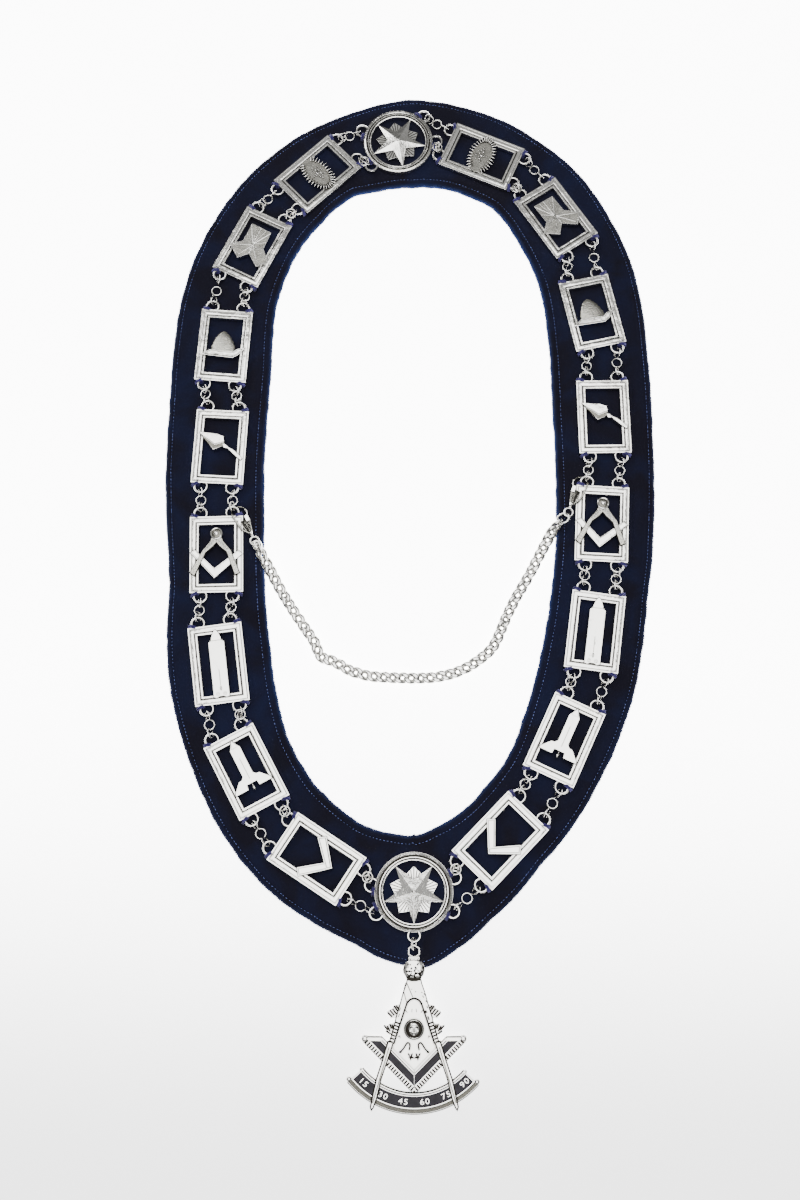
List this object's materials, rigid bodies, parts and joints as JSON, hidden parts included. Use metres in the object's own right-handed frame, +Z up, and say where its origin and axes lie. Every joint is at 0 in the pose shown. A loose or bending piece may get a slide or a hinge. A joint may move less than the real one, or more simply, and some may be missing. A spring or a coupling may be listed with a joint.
{
  "type": "chain collar",
  "caption": "Ceremonial chain collar lying flat: pierced silver emblem plaques and ring strands on a velvet band, with a star pendant jewel and a curb safety chain.",
  "frame": {"origin": "middle of the bounding box on the surface that the collar lies on", "axes": "+Z up from the surface, +Y from the pendant jewel towards the star at the back of the neck"},
  "size_m": [0.2656, 0.559, 0.0099],
  "materials": {
    "velvet": "dark blue velvet pile",
    "plated_silver": "bright silver plate, darker in the recesses",
    "chain_silver": "bright plated wire"
  },
  "bodies": {
    "collar": {"velvet_collar": "velvet", "top_star_plaque": "plated_silver", "bottom_star_plaque": "plated_silver", "eye_plaque_left": "plated_silver", "book_plaque_left": "plated_silver", "beehive_plaque_left": "plated_silver", "trowel_plaque_left": "plated_silver", "square_and_compasses_plaque_left": "plated_silver", "plumb_plaque_left": "plated_silver", "level_plaque_left": "plated_silver", "square_plaque_left": "plated_silver", "eye_plaque_right": "plated_silver", "book_plaque_right": "plated_silver", "beehive_plaque_right": "plated_silver", "trowel_plaque_right": "plated_silver", "square_and_compasses_plaque_right": "plated_silver", "plumb_plaque_right": "plated_silver", "level_plaque_right": "plated_silver", "square_plaque_right": "plated_silver", "pendant_ring": "plated_silver", "pendant_jewel": "plated_silver", "safety_chain": "chain_silver", "jump_ring": "chain_silver", "clasp_left": "chain_silver", "clasp_right": "chain_silver", "swivel_eye_left": "chain_silver", "swivel_eye_right": "chain_silver"},
    "lever_left": {"clasp_lever_left": "chain_silver"},
    "lever_right": {"clasp_lever_right": "chain_silver"}
  },
  "joints": [
    {"name": "lever_left_hinge", "type": "hinge", "parent": "collar", "child": "lever_left", "pos_m": [-0.08872, 0.025, 0.00805], "axis": [0, 0, 1], "range_deg": [0, 22], "stiffness_Nm_per_rad": 0.0005},
    {"name": "lever_right_hinge", "type": "hinge", "parent": "collar", "child": "lever_right", "pos_m": [0.08904, 0.04152, 0.00805], "axis": [0, 0, -1], "range_deg": [0, 22], "stiffness_Nm_per_rad": 0.0005}
  ]
}
